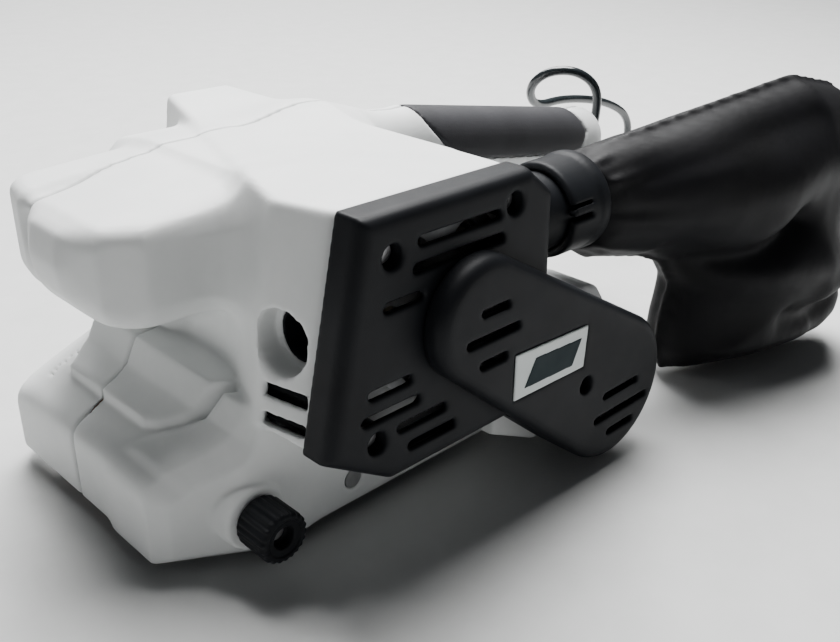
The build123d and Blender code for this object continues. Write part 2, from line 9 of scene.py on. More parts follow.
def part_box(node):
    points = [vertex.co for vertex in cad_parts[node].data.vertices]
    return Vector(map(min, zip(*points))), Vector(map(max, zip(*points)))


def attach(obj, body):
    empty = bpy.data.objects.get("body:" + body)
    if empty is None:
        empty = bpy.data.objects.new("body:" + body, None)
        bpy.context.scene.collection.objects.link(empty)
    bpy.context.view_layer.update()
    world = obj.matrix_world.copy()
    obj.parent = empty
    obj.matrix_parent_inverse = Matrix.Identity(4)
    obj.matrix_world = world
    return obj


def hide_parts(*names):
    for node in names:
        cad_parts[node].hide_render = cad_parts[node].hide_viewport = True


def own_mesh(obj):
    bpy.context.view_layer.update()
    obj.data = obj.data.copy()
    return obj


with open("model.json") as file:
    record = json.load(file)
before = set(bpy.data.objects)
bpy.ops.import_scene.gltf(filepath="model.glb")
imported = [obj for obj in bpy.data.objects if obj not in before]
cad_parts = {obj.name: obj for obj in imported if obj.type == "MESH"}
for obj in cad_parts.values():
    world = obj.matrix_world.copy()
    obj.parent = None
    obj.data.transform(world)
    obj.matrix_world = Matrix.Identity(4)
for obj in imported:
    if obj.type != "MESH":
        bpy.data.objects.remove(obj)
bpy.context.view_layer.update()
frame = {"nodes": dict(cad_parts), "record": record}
nodes = frame["nodes"]
MM = 0.001


# ---- fields: signed distances in millimetres on a grid ---------------------------------------------
class Grid:
    """A regular grid of points, kept as three broadcastable axes."""

    def __init__(self, low, high, step):
        self.low, self.step = np.array(low, np.float32), step
        counts = [int(math.ceil((b - a) / step)) + 1 for a, b in zip(low, high)]
        axes = [np.arange(n, dtype=np.float32) * step + a for n, a in zip(counts, low)]
        self.x = axes[0].reshape(-1, 1, 1)
        self.y = axes[1].reshape(1, -1, 1)
        self.z = axes[2].reshape(1, 1, -1)
        self.shape = tuple(counts)


def polygon(a, b, corners):
    """Signed distance to a closed outline given in the plane of the two axes a and b."""
    nearest = None
    inside = None
    for (a0, b0), (a1, b1) in zip(corners, corners[1:] + corners[:1]):
        ea, eb = a1 - a0, b1 - b0
        wa, wb = a - a0, b - b0
        along = np.clip((wa * ea + wb * eb) / (ea * ea + eb * eb), 0, 1)
        away = (wa - ea * along) ** 2 + (wb - eb * along) ** 2
        crossing = ((b0 > b) != (b1 > b)) & (a < (a1 - a0) * (b - b0) / ((b1 - b0) or 1e-9) + a0)
        nearest = away if nearest is None else np.minimum(nearest, away)
        inside = crossing if inside is None else inside ^ crossing
    return np.where(inside, -1, 1).astype(np.float32) * np.sqrt(nearest).astype(np.float32)


def meet(a, b, k=0.0):
    """Intersection, its edge rounded over k."""
    if not k:
        return np.maximum(a, b)
    h = np.maximum(k - np.abs(a - b), 0) / k
    return np.maximum(a, b) + h * h * (k / 4)


def join(a, b, k=0.0):
    """Union, its inner corner filleted over k."""
    if not k:
        return np.minimum(a, b)
    h = np.maximum(k - np.abs(a - b), 0) / k
    return np.minimum(a, b) - h * h * (k / 4)


def cut(a, b, k=0.0):
    """The first shape without the second, the new edge rounded over k."""
    return meet(a, -b, k)


def plane(g, point, normal):
    """Distance from a plane, positive on the side that its normal points to."""
    n = Vector(normal).normalized()
    return (g.x - point[0]) * n.x + (g.y - point[1]) * n.y + (g.z - point[2]) * n.z


def rod(g, start, end, radius):
    """A round bar with flat ends."""
    s, e = Vector(start), Vector(end)
    way = (e - s).normalized()
    t = (g.x - s.x) * way.x + (g.y - s.y) * way.y + (g.z - s.z) * way.z
    square = (g.x - s.x) ** 2 + (g.y - s.y) ** 2 + (g.z - s.z) ** 2 - t * t
    return np.maximum(np.sqrt(np.maximum(square, 0)) - radius, np.maximum(-t, t - (e - s).length))


def capsule(g, start, end, radius):
    """A round bar with round ends."""
    s, e = Vector(start), Vector(end)
    way = e - s
    t = ((g.x - s.x) * way.x + (g.y - s.y) * way.y + (g.z - s.z) * way.z) / way.length_squared
    t = np.clip(t, 0, 1)
    dx, dy, dz = g.x - s.x - way.x * t, g.y - s.y - way.y * t, g.z - s.z - way.z * t
    return np.sqrt(dx ** 2 + dy ** 2 + dz ** 2) - radius


def block(g, x0, x1, y0, y1, z0, z1):
    dx = np.maximum(x0 - g.x, g.x - x1)
    dy = np.maximum(y0 - g.y, g.y - y1)
    dz = np.maximum(z0 - g.z, g.z - z1)
    return np.maximum(np.maximum(dx, dy), dz)


def surface(g, field):
    """Surface nets: one vertex in each cell that the surface crosses, one quad round each crossed edge."""
    field = np.ascontiguousarray(np.broadcast_to(field, g.shape), dtype=np.float32)
    solid = field < 0
    nx, ny, nz = g.shape
    corners = [(i, j, k) for i in (0, 1) for j in (0, 1) for k in (0, 1)]
    filled = np.zeros((nx - 1, ny - 1, nz - 1), np.int8)
    for i, j, k in corners:
        filled += solid[i:nx - 1 + i, j:ny - 1 + j, k:nz - 1 + k]
    ci, cj, ck = np.nonzero((filled > 0) & (filled < 8))
    values = np.stack([field[ci + i, cj + j, ck + k] for i, j, k in corners], 1)
    total = np.zeros((len(ci), 3), np.float32)
    count = np.zeros(len(ci), np.float32)
    for a in range(8):
        for b in range(a + 1, 8):
            step = np.subtract(corners[b], corners[a])
            if np.abs(step).sum() != 1:
                continue
            va, vb = values[:, a], values[:, b]
            crossed = (va < 0) != (vb < 0)
            t = np.where(crossed, va / np.where(crossed, va - vb, 1), 0)
            total += (np.array(corners[a]) + t[:, None] * step) * crossed[:, None]
            count += crossed
    points = total / count[:, None] + np.stack([ci, cj, ck], 1)
    points = points * g.step + g.low
    number = np.full(filled.shape, -1, np.int32)
    number[ci, cj, ck] = np.arange(len(ci))
    quads = []
    for axis in range(3):
        u, v = (axis + 1) % 3, (axis + 2) % 3
        ahead = [slice(None)] * 3
        behind = [slice(None)] * 3
        ahead[axis], behind[axis] = slice(1, None), slice(None, -1)
        change = solid[tuple(ahead)] != solid[tuple(behind)]
        where = np.array(np.nonzero(change))
        keep = (where[u] > 0) & (where[v] > 0) & (where[u] < g.shape[u] - 1) & (where[v] < g.shape[v] - 1)
        where = where[:, keep]
        ring = []
        for du, dv in ((0, 0), (-1, 0), (-1, -1), (0, -1)):
            cell = where.copy()
            cell[u] += du
            cell[v] += dv
            ring.append(number[tuple(cell)])
        quad = np.stack(ring, 1)
        outward = solid[tuple(where)]
        quad[~outward] = quad[~outward][:, ::-1]
        quads.append(quad)
    return points, np.concatenate(quads)


def relax(points, faces, rounds):
    """Each vertex moves halfway towards the mean of its neighbours."""
    a, b = faces.ravel(), np.roll(faces, -1, axis=1).ravel()
    size = len(points)
    count = np.bincount(a, minlength=size) + np.bincount(b, minlength=size)
    for _ in range(rounds):
        ahead = [np.bincount(a, points[b, axis], size) for axis in range(3)]
        behind = [np.bincount(b, points[a, axis], size) for axis in range(3)]
        total = np.stack([one + other for one, other in zip(ahead, behind)], 1)
        points = 0.5 * points + 0.5 * total / count[:, None]
    return points


def object_from(name, points, faces):
    """A smooth-shaded object from points in millimetres and four-sided faces."""
    mesh = bpy.data.meshes.new(name)
    points = np.asarray(points, np.float32)
    faces = np.asarray(faces, np.int32)
    mesh.vertices.add(len(points))
    mesh.vertices.foreach_set("co", (points * MM).ravel())
    mesh.loops.add(faces.size)
    mesh.loops.foreach_set("vertex_index", faces.ravel())
    mesh.polygons.add(len(faces))
    mesh.polygons.foreach_set("loop_start", np.arange(len(faces), dtype=np.int32) * faces.shape[1])
    mesh.update(calc_edges=True)
    mesh.polygons.foreach_set("use_smooth", np.full(len(faces), True))
    mesh.validate()
    made = bpy.data.objects.new(name, mesh)
    bpy.context.collection.objects.link(made)
    return made


def solid_piece(name, g, field, material, body, slot, *replaced):
    """A piece of the look, made from a field and carried by a body of the frame."""
    points, quads = surface(g, field)
    piece = object_from(name, relax(points, quads, 1), quads)
    piece.data.set_sharp_from_angle(angle=math.radians(50))
    piece.data.materials.append(material)
    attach(piece, body)
    if replaced:
        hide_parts(*replaced)
    return piece


# ---- materials -------------------------------------------------------------------------------------
class Shader:
    """A Principled material with its procedural nodes in object space."""

    def __init__(self, name, rough, metallic=0.0, sheen=0.0, coat=0.0, specular=0.5):
        self.material = bpy.data.materials.new(name)
        self.material.use_nodes = True
        self.tree = self.material.node_tree
        self.shader = self.tree.nodes["Principled BSDF"]
        self.shader.inputs["Metallic"].default_value = metallic
        self.shader.inputs["Roughness"].default_value = rough
        self.shader.inputs["Sheen Weight"].default_value = sheen
        self.shader.inputs["Coat Weight"].default_value = coat
        self.shader.inputs["Specular IOR Level"].default_value = specular
        self.place = self.tree.nodes.new("ShaderNodeTexCoord").outputs["Object"]
        self.height = None

    def noise(self, scale, detail, stretch=None):
        node = self.tree.nodes.new("ShaderNodeTexNoise")
        node.inputs["Scale"].default_value = scale
        node.inputs["Detail"].default_value = detail
        node.inputs["Roughness"].default_value = 0.6
        self.tree.links.new(self.stretched(stretch), node.inputs["Vector"])
        return node.outputs["Fac"]

    def stretched(self, stretch):
        if not stretch:
            return self.place
        mapping = self.tree.nodes.new("ShaderNodeMapping")
        mapping.inputs["Scale"].default_value = stretch
        self.tree.links.new(self.place, mapping.inputs["Vector"])
        return mapping.outputs["Vector"]

    def cells(self, scale):
        node = self.tree.nodes.new("ShaderNodeTexVoronoi")
        node.inputs["Scale"].default_value = scale
        self.tree.links.new(self.place, node.inputs["Vector"])
        return node.outputs["Distance"]

    def bands(self, scale, direction, distortion):
        node = self.tree.nodes.new("ShaderNodeTexWave")
        node.bands_direction = direction
        node.inputs["Scale"].default_value = scale
        node.inputs["Distortion"].default_value = distortion
        self.tree.links.new(self.place, node.inputs["Vector"])
        return node.outputs["Fac"]

    def ramp(self, fac, *stops):
        node = self.tree.nodes.new("ShaderNodeValToRGB")
        for i, (position, colour) in enumerate(stops):
            stop = node.color_ramp.elements[i] if i < 2 else node.color_ramp.elements.new(position)
            stop.position = position
            stop.color = (*colour, 1)
        self.tree.links.new(fac, node.inputs["Fac"])
        return node.outputs["Color"]

    def spread(self, fac, low, high):
        node = self.tree.nodes.new("ShaderNodeMapRange")
        node.inputs["To Min"].default_value = low
        node.inputs["To Max"].default_value = high
        self.tree.links.new(fac, node.inputs["Value"])
        return node.outputs["Result"]

    def colour(self, output):
        self.tree.links.new(output, self.shader.inputs["Base Color"])

    def rough(self, output):
        self.tree.links.new(output, self.shader.inputs["Roughness"])

    def bump(self, fac, distance, strength):
        node = self.tree.nodes.new("ShaderNodeBump")
        node.inputs["Distance"].default_value = distance
        node.inputs["Strength"].default_value = strength
        self.tree.links.new(fac, node.inputs["Height"])
        if self.height is not None:
            self.tree.links.new(self.height, node.inputs["Normal"])
        self.height = node.outputs["Normal"]
        self.tree.links.new(self.height, self.shader.inputs["Normal"])


def moulded(name, dark, light, rough, grain=2600, depth=0.00006, **more):
    s = Shader(name, rough, **more)
    s.colour(s.ramp(s.noise(38, 5), (0.35, dark), (0.65, light)))
    s.rough(s.spread(s.noise(90, 4), rough - 0.06, rough + 0.08))
    s.bump(s.noise(grain, 2), depth, 0.5)
    return s.material


def metal(name, dark, light, rough, stretch=(1, 1, 1)):
    s = Shader(name, rough, metallic=1.0)
    s.colour(s.ramp(s.noise(120, 5, stretch=stretch), (0.3, dark), (0.7, light)))
    s.rough(s.spread(s.noise(300, 4, stretch=stretch), rough - 0.08, rough + 0.12))
    s.bump(s.noise(1200, 3, stretch=stretch), 0.00005, 0.4)
    return s.material


def make_abrasive():
    s = Shader("abrasive_cloth", 0.85)
    grit = [(0.3, (0.16, 0.07, 0.04)), (0.6, (0.34, 0.15, 0.09)), (0.75, (0.55, 0.32, 0.22))]
    s.colour(s.ramp(s.noise(2400, 3), *grit))
    s.bump(s.cells(1800), 0.0004, 0.8)
    return s.material


def make_bag_cloth():
    s = Shader("bag_cloth", 0.5, sheen=0.01, specular=0.14)
    s.colour(s.ramp(s.noise(26, 5), (0.3, (0.0025, 0.0025, 0.003)), (0.7, (0.005, 0.005, 0.0065))))
    s.rough(s.spread(s.noise(60, 4), 0.42, 0.62))
    s.bump(s.bands(900, "X", 0.4), 0.00008, 0.35)
    s.bump(s.bands(900, "Z", 0.4), 0.00008, 0.35)
    s.bump(s.noise(70, 6), 0.0006, 0.5)
    return s.material


def make_grip():
    s = Shader("soft_grip", 0.62, sheen=0.05, specular=0.2)
    s.colour(s.ramp(s.noise(45, 5), (0.3, (0.022, 0.022, 0.025)), (0.7, (0.032, 0.032, 0.036))))
    s.rough(s.spread(s.noise(80, 4), 0.55, 0.72))
    s.bump(s.cells(1400), 0.00012, 0.4)
    return s.material


HOUSING = moulded("housing_plastic", (0.70, 0.715, 0.71), (0.75, 0.76, 0.755), 0.48, specular=0.3)
COVER = moulded(
    "cover_plastic", (0.005, 0.0055, 0.007), (0.008, 0.009, 0.011), 0.5, depth=0.0001, specular=0.12)
BLACK_RUBBER = moulded("black_rubber", (0.015, 0.015, 0.016), (0.028, 0.028, 0.03), 0.5)
CORD_RUBBER = moulded("cord_rubber", (0.012, 0.016, 0.018), (0.02, 0.026, 0.029), 0.24, coat=0.25)
BADGE = moulded("badge_film", (0.60, 0.64, 0.63), (0.66, 0.70, 0.69), 0.3, depth=0.00003)
BADGE_DARK = moulded(
    "badge_dark", (0.012, 0.022, 0.026), (0.02, 0.032, 0.036), 0.55, depth=0.00003, specular=0.1)
NYLON = moulded("nylon", (0.5, 0.46, 0.38), (0.6, 0.56, 0.47), 0.5)
GRAPHITE = moulded("graphite_pad", (0.05, 0.05, 0.055), (0.1, 0.1, 0.1), 0.7, grain=900, depth=0.0003)
CARBON = moulded("carbon", (0.02, 0.02, 0.02), (0.05, 0.05, 0.05), 0.6)
STEEL = metal("bright_steel", (0.45, 0.45, 0.46), (0.62, 0.62, 0.63), 0.32)
ALLOY = metal("cast_alloy", (0.36, 0.37, 0.38), (0.52, 0.53, 0.54), 0.5)
TURNED = metal("turned_alloy", (0.55, 0.56, 0.57), (0.7, 0.71, 0.72), 0.3, stretch=(1, 40, 1))
LAMINATED = metal("laminated_steel", (0.12, 0.12, 0.13), (0.26, 0.26, 0.28), 0.45, stretch=(1, 60, 1))
COPPER = metal("copper_wire", (0.45, 0.2, 0.1), (0.7, 0.36, 0.2), 0.35, stretch=(1, 30, 1))
ABRASIVE = make_abrasive()
BAG = make_bag_cloth()
GRIP = make_grip()
FLOOR = moulded("floor_paint", (0.56, 0.565, 0.56), (0.59, 0.595, 0.59), 0.8, grain=300, specular=0.1)

SLOT_MATERIAL = {
    "housing": HOUSING, "grip_rubber": GRIP, "cover_plastic": COVER, "badge_face": BADGE, "bag_fabric": BAG,
    "abrasive": ABRASIVE, "cast_alloy": ALLOY, "roller_alloy": TURNED, "bright_steel": STEEL,
    "laminated_steel": LAMINATED, "black_rubber": BLACK_RUBBER, "graphite_pad": GRAPHITE, "nylon": NYLON,
    "copper": COPPER, "carbon": CARBON,
}
node_slots = {row["node"]: row["material_slot"] for row in frame["record"]["subparts"]}
for name, thing in nodes.items():
    thing.data.materials.clear()
    thing.data.materials.append(SLOT_MATERIAL[node_slots[name]])


# ---- places that several pieces share, in millimetres ------------------------------------------------
MOTOR_X, MOTOR_Z = -8, 97
SOCKET_Y, SOCKET_Z = -87, 94
OUTLET_Y, OUTLET_Z = -81, 105.5
KNOB_X, KNOB_Z = -76, 25.5
KNOB_RIBS = 22
GRIP_LINE = (60, 0, 121.7), (206, 0, 97)
FRONT_ROLLER = -75.5, 24
REAR_ROLLER = 75.5, 26
COVER_EDGE = [(-72.8, 62.5), (-56, 142.5), (23, 142.5), (36, 132), (39, 44.5), (-44, 44.5)]


# ---- housing ---------------------------------------------------------------------------------------
def wing_front(g):
    """The front of the motor housing on the near side: two planes that meet in an upright crease."""
    main_face = plane(g, (-72.8, -81, 62), (-1, -0.19, 0.14))
    return meet(main_face, plane(g, (-72, -80, 66), (-1, 0.36, 0.14)), 2)


def upper_field(g):
    """The motor housing, with the wing that carries the black covers."""
    side = polygon(g.x, g.z, [(-60, 44), (-58, 100), (-52, 141.5), (22, 141.5), (35, 133), (39, 44)])
    front = polygon(g.y, g.z, [(-80, 40), (-80, 141.5), (12, 142), (40, 135), (56, 119), (60, 104), (60, 40)])
    body = meet(side, front, 9)
    wing_side = polygon(g.x, g.z, [
        (-90, 62.5), (-90, 141.5), (23, 141.5), (35, 133), (39, 45), (-44, 45), (-71, 61.5)])
    wing = meet(wing_side, -g.y - 105, 3)
    wing = meet(wing, wing_front(g), 3)
    wing = meet(wing, plane(g, (-54, -105, 141.5), (-1, -0.42, 0.19)), 4)
    return join(body, wing, 4)


def nose_curve():
    """The round of the nose, from its upright front up to the deck."""
    turns = [math.radians(angle) for angle in range(180, 116, -9)]
    return [(-94.8 + 10 * math.cos(turn), 31.5 + 10 * math.sin(turn)) for turn in turns]


def lower_field(g):
    """The belt guard: deck, raised cheek below the wing, bevelled near corner and thumb pad."""
    nose_arc = nose_curve()
    side = polygon(g.x, g.z, [(-104.8, 7)] + nose_arc + [
        (-88, 46.8), (-77, 51), (-60, 57), (-50, 66), (90, 67), (101, 60), (105, 40), (105, 7)])
    plan = polygon(g.x, g.y, [(-104.8, -90), (104, -90), (104, 61), (-80, 61), (-97, 57), (-104.8, 50)])
    deck = meet(meet(plan, side, 2), plane(g, (-84, 50, 44.8), (-0.307, 0.544, 0.781)), 8)
    cheek_side = polygon(g.x, g.z, [(-105.2, 7)] + nose_arc + [
        (-97, 44.3), (-84, 50), (-77, 56), (-71.5, 66.5), (-40, 67), (-40, 7)])
    cheek = meet(cheek_side, plane(g, (-85, -44, 50), (0.67, 0.74, 0)), 5)
    shape = join(deck, cheek, 4)
    near = plane(g, (-101, -64, 7), (-0.514, -0.857, 0))
    # The bevel is wider along the deck than down the nose.
    bevel = (shape + near + np.interp(g.z, [25, 48], [4.5, 6.5])) * 0.7
    shape = meet(meet(shape, near, 1), bevel, 0.4)
    shape = meet(shape, -79 - g.y, 1.5)
    pad_plan = polygon(g.x, g.y, [
        (-89, 26), (-89, -31), (-86.5, -38), (-80, -46), (-66, -58), (-40, -60), (-40, 34), (-80, 31)])
    pad_side = polygon(g.x, g.z, [
        (-95, 30), (-95, 49.5), (-87, 51.5), (-80, 54.3), (-70, 59), (-60, 63.5), (-40, 64), (-40, 30)])
    pad = meet(meet(pad_plan, pad_side, 2), plane(g, (-85, -42, 52), (-0.62, -0.1, 0.8)))
    return join(shape, join(pad, meet(pad_plan, cheek_side - 1.6), 2), 0.5)


def hollow(g, centre, radii):
    """Below zero inside an ellipsoid; its slope follows the middle radius."""
    x, y, z = centre
    a, b, c = radii
    return (np.sqrt(((g.x - x) / a) ** 2 + ((g.y - y) / b) ** 2 + ((g.z - z) / c) ** 2) - 1) * b


def front_handle_field(g):
    plan = polygon(g.x, g.y, [
        (-20, -74), (-50, -66), (-68, -60), (-80, -59), (-94, -57), (-107, -48), (-114, -32), (-114, -14),
        (-107, 0), (-106.5, 8), (-102, 24), (-95, 37), (-87, 48), (-72, 54), (-40, 60), (-20, 60)])
    side = polygon(g.x, g.z, [
        (-20, 66), (-60, 70), (-74, 78), (-92, 90), (-106, 99), (-113, 107), (-118, 118),
        (-112, 129), (-104, 132.5), (-82, 136), (-60, 140), (-50, 141.4), (-20, 142)])
    front = polygon(g.y, g.z, [
        (-10, 66), (-20, 79), (-30, 85), (-40, 90.5), (-52, 96), (-61, 103), (-62.5, 127), (-57, 134),
        (-40, 140), (0, 142), (22, 136), (38, 128), (50, 120), (56, 108), (50, 95), (34, 82), (16, 64)])
    bar = meet(meet(plan, side, 6), front, 7)
    bar = cut(bar, hollow(g, (-117, 1, 122), (13, 9, 13)), 3)
    return cut(bar, hollow(g, (-108, 0, 137), (26, 6, 6.5)), 3)


def main_handle_field(g):
    """The looped rear handle: round bars from the housing's top, down the rear and back to the deck."""
    knees = [(15, 0, 124), (75, 0, 119.3), (203, 0, 97.6), (186, 0, 54), (80, 0, 50)]
    bars = [capsule(g, start, end, 15.5) for start, end in zip(knees, knees[1:])]
    return join(join(join(bars[0], bars[1], 4), bars[2], 6), bars[3], 6)


def housing_field(g):
    body = join(upper_field(g), lower_field(g), 3)
    handle = front_handle_field(g)
    # The fillet between body and handle grows from 6 to 20 towards the near side.
    tight = join(body, handle, 6)
    near_side = np.clip((-45 - g.y) / 15, 0, 1)
    body = tight + (join(body, handle, 20) - tight) * near_side
    flank_side = polygon(g.x, g.z, [
        (30, 22), (30, 73), (88, 73), (97, 70), (103, 62), (106, 42), (101, 18), (84, 8), (58, 8)])
    body = join(body, meet(flank_side, np.maximum(-100 - g.y, g.y + 70), 3), 2)
    body = join(body, main_handle_field(g), 22)
    boss = rod(g, (KNOB_X, -60, KNOB_Z), (KNOB_X, -83, KNOB_Z), 12.8)
    body = join(body, meet(boss, -82 - g.y, 2), 1)
    return cut_features(g, cut(body, belt_room(g)))


def belt_room(g):
    """The room for the belt and its rollers, kept under the deck and inside the far side."""
    belt = capsule_pair(g, FRONT_ROLLER, 25.5, REAR_ROLLER, 28.5)
    belt = join(belt, block(g, -75.5, 75.5, -300, 300, -10, 26))
    belt = join(belt, block(g, 95, 130, -300, 300, -10, 53))
    under_deck = polygon(g.x, g.z, [
        (-104.5, -20), (-104.5, 31), (-102.5, 37), (-99, 40.5), (-95, 43.2), (-88, 47), (-77, 51), (-60, 57),
        (-50, 66), (140, 66), (140, -20)]) + 1.6
    # High on the far side the room keeps a wall of 2.4 mm.
    far_skin = np.where((g.z > 36) & (g.x < 90) & (g.y > 38), lower_field(g) + 2.4, -50)
    return np.maximum(np.maximum(np.maximum(belt, far_skin), under_deck), -47 - g.y)


def cut_features(g, body):
    """The drive room, motor room, clamp socket, front vents, screw wells, trigger slot and outlet seat."""
    body = cut(body, block(g, -66, 92, -76, -46, 0, 46))
    body = cut(body, rod(g, (MOTOR_X, -140, MOTOR_Z), (MOTOR_X, 34, MOTOR_Z), 35.5))
    for end, radius in ((-58, 12), (-40, 9.8)):
        body = cut(body, rod(g, (-95, SOCKET_Y, SOCKET_Z), (end, SOCKET_Y, SOCKET_Z), radius), 0.3)
    for z in (76.7, 66.3):
        body = cut(body, block(g, -90, -60, -101, -82.5, z - 2.3, z + 2.3), 0.3)
    body = cut(body, np.maximum(wing_front(g) + 2.6, block(g, -80, -45, -102.5, -76.5, 61, 79.8)))
    body = cut(body, rod(g, (-28, -90, 18), (-28, -74, 18), 4.2), 0.6)
    for x, z in ((-80, 108), (24, 128), (-46, 126), (40, 61.5), (199, 93)):
        body = cut(body, rod(g, (x, 20, z), (x, 90, z), 3.8), 0.6)
    body = cut(body, block(g, 112, 133, -7, 7, 70, 106))
    return cut(body, rod(g, (24, OUTLET_Y, OUTLET_Z), (60, OUTLET_Y, OUTLET_Z), 16.9))


def capsule_pair(g, start, r0, end, r1):
    """The stretched loop round two centres given in X and Z, endless along Y."""
    x0, z0 = start
    ex, ez = end[0] - x0, end[1] - z0
    t = np.clip(((g.x - x0) * ex + (g.z - z0) * ez) / (ex * ex + ez * ez), 0, 1)
    return np.sqrt((g.x - x0 - ex * t) ** 2 + (g.z - z0 - ez * t) ** 2) - (r0 + (r1 - r0) * t)


STEP = 1.1
SEAM = 0.2
shell = Grid((-123, -109, 3), (226, 66, 147), STEP)
housing = housing_field(shell)
grip_zone = polygon(shell.x, shell.z, [
    (68, 150), (77, 128), (90, 113), (102, 107.5), (191, 93.5), (197, 104), (186, 150)])
grip_field = meet(capsule(shell, *GRIP_LINE, 16.3), grip_zone, 1.5)
grip_field = cut(grip_field, capsule(shell, *GRIP_LINE, 13.4))
near_half = meet(housing, shell.y + SEAM, 0.8)
far_half = meet(housing, SEAM - shell.y, 0.8)
grip_seat = cut(grip_zone - 0.3, capsule(shell, *GRIP_LINE, 13.5))
near_half = cut(near_half, grip_seat)
far_half = cut(far_half, grip_seat)
solid_piece("housing_near", shell, near_half, HOUSING, "machine", "housing", "left_housing")
solid_piece("housing_far", shell, far_half, HOUSING, "machine", "housing", "right_housing")
solid_piece("soft_grip", shell, grip_field, GRIP, "machine", "grip_rubber", "handle_grip")

baffle = Grid((-76, -104, 59), (-46, -75, 84), 0.8)
baffle_block = np.maximum(wing_front(baffle) + 4.2, block(baffle, -80, -48, -102, -77, 61.5, 79.4))
LOUVRE_PITCH = 3.5
louvres = baffle_block + 0.5 * (1 + np.cos(baffle.z * 2 * np.pi / LOUVRE_PITCH))
solid_piece("vent_baffle", baffle, louvres, COVER, "machine", "cover_plastic")

# Painted shade: a black plastic tube lines the socket's inner bore so that the shadow inside the socket reads
# dark.
cup = Grid((-62, -100, 81), (-42, -74, 107), 0.6)
shade_tube_wall = rod(cup, (-57.4, SOCKET_Y, SOCKET_Z), (-43, SOCKET_Y, SOCKET_Z), 9.7)
shade_tube_bore = rod(cup, (-78.6, SOCKET_Y, SOCKET_Z), (-36.4, SOCKET_Y, SOCKET_Z), 8.6)
solid_piece("socket_painted_shade_lining", cup, cut(shade_tube_wall, shade_tube_bore, 0.5), COVER, "machine", "cover_plastic")


# ---- black covers ----------------------------------------------------------------------------------
COVER_SCREWS = [(-44, 128), (14, 132), (-51, 63)]
COVER_SLOTS = [
    (-33, 7, 130), (-35, 9, 121), (-48, -30, 111), (-55, -35, 82),
    (-58, -31, 73), (-42, -18, 64.5), (-37, -13, 55.5)]
DRIVE_SLOTS = [(-12, 3, 101), (-19, 9, 91), (-12, 3, 81), (66, 91, 38), (61, 99, 28), (71, 90, 19)]
BADGE_EDGE = [(7, 79), (50, 77), (49, 59), (7, 60)]


def slot_field(g, x0, x1, z, half):
    """A level slot with round ends, endless along Y."""
    t = np.clip(g.x, x0 + half, x1 - half)
    return np.sqrt((g.x - t) ** 2 + (g.z - z) ** 2) - half


def drive_loop(g, grow=0.0):
    return capsule_pair(g, (MOTOR_X, MOTOR_Z), 23.5 + grow, (76, 38), 32.5 + grow)


def end_cover_field(g):
    edge = polygon(g.x, g.z, COVER_EDGE)
    depth = np.maximum(-119 - g.y, g.y + 105)
    outside = meet(edge, -119 - g.y, 5.5)
    outside = meet(outside, g.y + 105, 1)
    inner = np.maximum(edge + 4.5, -116 - g.y)
    shape = cut(outside, inner, 0.5)
    for x, z in COVER_SCREWS:
        post = np.sqrt((g.x - x) ** 2 + (g.z - z) ** 2)
        shape = join(shape, np.maximum(np.maximum(post - 6, depth), edge))
        shape = cut(shape, np.maximum(post - 4.2, g.y + 110), 1.2)
    for x0, x1, z in COVER_SLOTS:
        shape = cut(shape, np.maximum(slot_field(g, x0, x1, z, 1.7), g.y + 112), 0.8)
    return cut(shape, np.maximum(drive_loop(g, -6), g.y + 114))


def drive_cover_field(g):
    loop = drive_loop(g)
    outside = meet(meet(loop, -128.5 - g.y, 6), g.y + 100, 1)
    seat = np.maximum(polygon(g.x, g.z, COVER_EDGE) - 0.4, -119.3 - g.y)
    inner = np.maximum(loop + 2.6, -125.5 - g.y)
    shape = cut(cut(outside, seat), inner, 0.5)
    post = np.sqrt((g.x - 53) ** 2 + (g.z - 49) ** 2)
    shape = join(shape, np.maximum(post - 6, np.maximum(-127 - g.y, g.y + 105)))
    shape = cut(shape, np.maximum(post - 3.9, g.y + 121), 1)
    for x0, x1, z in DRIVE_SLOTS:
        shape = cut(shape, np.maximum(slot_field(g, x0, x1, z, 1.6), g.y + 125.9), 0.8)
    badge = polygon(g.x, g.z, BADGE_EDGE)
    return cut(shape, np.maximum(badge - 0.5, g.y + 127.7), 0.4)


FINE = 0.9
casing = Grid((-76, -131, 2), (112, -97, 146), FINE)
end_cover = end_cover_field(casing)
drive_cover = drive_cover_field(casing)
solid_piece("end_cover_shell", casing, end_cover, COVER, "machine", "cover_plastic", "motor_end_cover")
solid_piece("drive_cover_shell", casing, drive_cover, COVER, "machine", "cover_plastic", "drive_belt_cover")

badge_grid = Grid((4, -130.5, 55), (54, -126.5, 83), 0.4)
badge_plan = polygon(badge_grid.x, badge_grid.z, BADGE_EDGE)
badge_field = meet(badge_plan, np.maximum(-128.9 - badge_grid.y, badge_grid.y + 127.8), 0.6)
solid_piece("badge_blank", badge_grid, badge_field, BADGE, "machine", "badge_face", "badge_plate")
panel_plan = polygon(badge_grid.x, badge_grid.z, [(18, 74.5), (46, 73), (41, 62.5), (12, 63.5)])
panel_field = np.maximum(panel_plan, np.maximum(-129.15 - badge_grid.y, badge_grid.y + 128.6))
solid_piece("badge_panel", badge_grid, panel_field, BADGE_DARK, "machine", "badge_face")


# ---- dust outlet, collar and knob -------------------------------------------------------------------
def outlet_field(g):
    radius = np.sqrt((g.y - OUTLET_Y) ** 2 + (g.z - OUTLET_Z) ** 2)
    tube = np.maximum(radius - 16.9, np.maximum(28 - g.x, g.x - 90))
    flange = meet(radius - 20, np.maximum(39 - g.x, g.x - 44), 2)
    return cut(join(tube, flange, 2), radius - 14.5)


